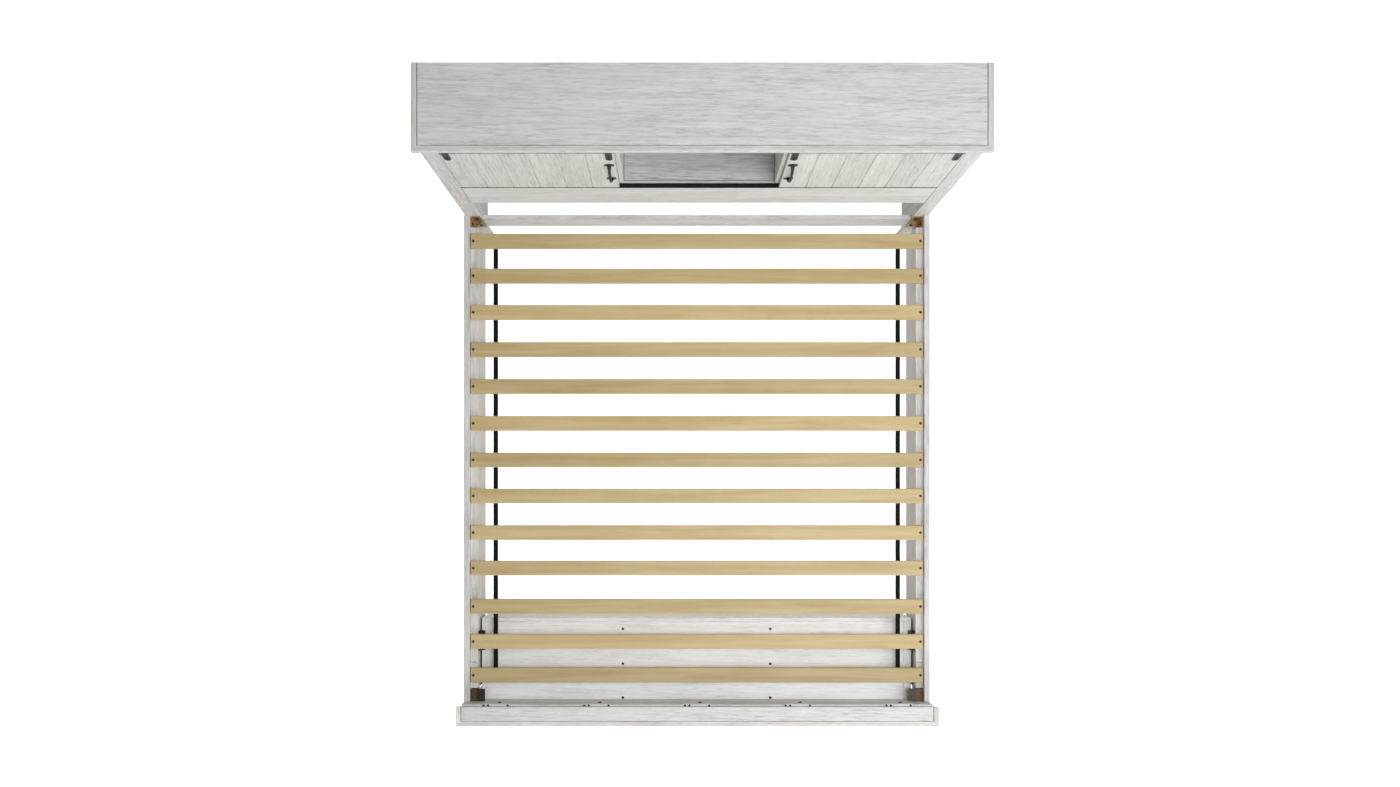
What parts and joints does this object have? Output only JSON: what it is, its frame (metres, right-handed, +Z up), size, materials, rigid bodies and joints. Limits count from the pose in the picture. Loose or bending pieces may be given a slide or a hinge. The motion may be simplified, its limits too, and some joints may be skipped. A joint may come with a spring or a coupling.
{
  "type": "storage bed",
  "caption": "King bed frame with screwed slats, a bookcase headboard with sliding plank doors beside an open niche, and drawers in the footboard.",
  "frame": {"origin": "on the floor, under the middle of the bed's bounding box", "axes": "+Z up, +Y towards the headboard, +X to the right for someone standing at the foot and looking at the headboard"},
  "size_m": [2.046, 2.488, 1.322],
  "materials": {
    "whitewashed_wood": "limed open-grain veneer, satin",
    "slat_birch": "clear-sealed birch plywood, satin",
    "black_iron": "forged look, satin black",
    "bracket_bronze": "yellow chromate on stamped steel",
    "bracket_dark": "oiled black steel",
    "screw_dark": "black oxide",
    "webbing": "woven polypropylene tape",
    "cleat_white": "moulded, off-white",
    "glide_nylon": "nylon",
    "drawer_birch": "birch plywood, lacquered",
    "runner_zinc": "zinc plated"
  },
  "bodies": {
    "bed_frame": {"bracket_bolts": "screw_dark", "cap_cleats": "cleat_white", "case_back_panel": "whitewashed_wood", "case_brackets": "bracket_dark", "case_partitions": "whitewashed_wood", "case_runners": "runner_zinc", "case_shelf": "whitewashed_wood", "case_sides": "whitewashed_wood", "case_top_panel": "whitewashed_wood", "cleat_screws": "screw_dark", "divider_left": "whitewashed_wood", "divider_right": "whitewashed_wood", "door_guide": "black_iron", "door_track": "black_iron", "foot_brackets": "bracket_dark", "footboard_bottom_rail": "whitewashed_wood", "footboard_cap": "whitewashed_wood", "footboard_inner_board": "whitewashed_wood", "footboard_posts": "whitewashed_wood", "footboard_top_rail": "whitewashed_wood", "glides": "glide_nylon", "head_brackets": "bracket_bronze", "headboard_back": "whitewashed_wood", "headboard_side_left": "whitewashed_wood", "headboard_side_right": "whitewashed_wood", "headboard_stiles": "whitewashed_wood", "headboard_top": "whitewashed_wood", "header_panel": "whitewashed_wood", "ledge_left": "whitewashed_wood", "ledge_right": "whitewashed_wood", "lower_rail": "whitewashed_wood", "rail_left": "whitewashed_wood", "rail_right": "whitewashed_wood", "side_mouldings": "whitewashed_wood", "slat_webbing": "webbing", "slats": "slat_birch", "track_board": "whitewashed_wood", "wood_screws": "screw_dark"},
    "left_door": {"door_left": "whitewashed_wood", "door_left_hangers": "black_iron", "door_left_pull": "black_iron"},
    "left_inner_roller": {"roller_left_inner": "black_iron"},
    "left_outer_roller": {"roller_left_outer": "black_iron"},
    "right_door": {"door_right": "whitewashed_wood", "door_right_hangers": "black_iron", "door_right_pull": "black_iron"},
    "right_inner_roller": {"roller_right_inner": "black_iron"},
    "right_outer_roller": {"roller_right_outer": "black_iron"},
    "left_drawer": {"drawer_left_front": "whitewashed_wood", "drawer_left_box": "drawer_birch", "drawer_left_slides": "runner_zinc", "drawer_left_pull": "black_iron"},
    "middle_drawer": {"drawer_middle_front": "whitewashed_wood", "drawer_middle_box": "drawer_birch", "drawer_middle_slides": "runner_zinc", "drawer_middle_pull": "black_iron"},
    "right_drawer": {"drawer_right_front": "whitewashed_wood", "drawer_right_box": "drawer_birch", "drawer_right_slides": "runner_zinc", "drawer_right_pull": "black_iron"}
  },
  "joints": [
    {"name": "left_door_slide", "type": "slide", "parent": "bed_frame", "child": "left_door", "axis": [1, 0, 0], "range_m": [0, 0.311]},
    {"name": "right_door_slide", "type": "slide", "parent": "bed_frame", "child": "right_door", "axis": [-1, 0, 0], "range_m": [0, 0.311]},
    {"name": "left_inner_roller_turn", "type": "hinge", "parent": "left_door", "child": "left_inner_roller", "pos_m": [-0.33353, 0.948, 1.2873], "axis": [0, 1, 0], "continuous": true},
    {"name": "left_outer_roller_turn", "type": "hinge", "parent": "left_door", "child": "left_outer_roller", "pos_m": [-0.9158, 0.948, 1.2873], "axis": [0, 1, 0], "continuous": true},
    {"name": "right_inner_roller_turn", "type": "hinge", "parent": "right_door", "child": "right_inner_roller", "pos_m": [0.33353, 0.948, 1.2873], "axis": [0, -1, 0], "continuous": true},
    {"name": "right_outer_roller_turn", "type": "hinge", "parent": "right_door", "child": "right_outer_roller", "pos_m": [0.9158, 0.948, 1.2873], "axis": [0, -1, 0], "continuous": true},
    {"name": "left_drawer_slide", "type": "slide", "parent": "bed_frame", "child": "left_drawer", "axis": [0, -1, 0], "range_m": [0, 0.3]},
    {"name": "middle_drawer_slide", "type": "slide", "parent": "bed_frame", "child": "middle_drawer", "axis": [0, -1, 0], "range_m": [0, 0.3]},
    {"name": "right_drawer_slide", "type": "slide", "parent": "bed_frame", "child": "right_drawer", "axis": [0, -1, 0], "range_m": [0, 0.3]}
  ],
  "couplings": [
    {"joint": "left_inner_roller_turn", "follows": "left_door_slide", "rad_per_m": 100},
    {"joint": "left_outer_roller_turn", "follows": "left_door_slide", "rad_per_m": 100},
    {"joint": "right_inner_roller_turn", "follows": "right_door_slide", "rad_per_m": 100},
    {"joint": "right_outer_roller_turn", "follows": "right_door_slide", "rad_per_m": 100}
  ]
}
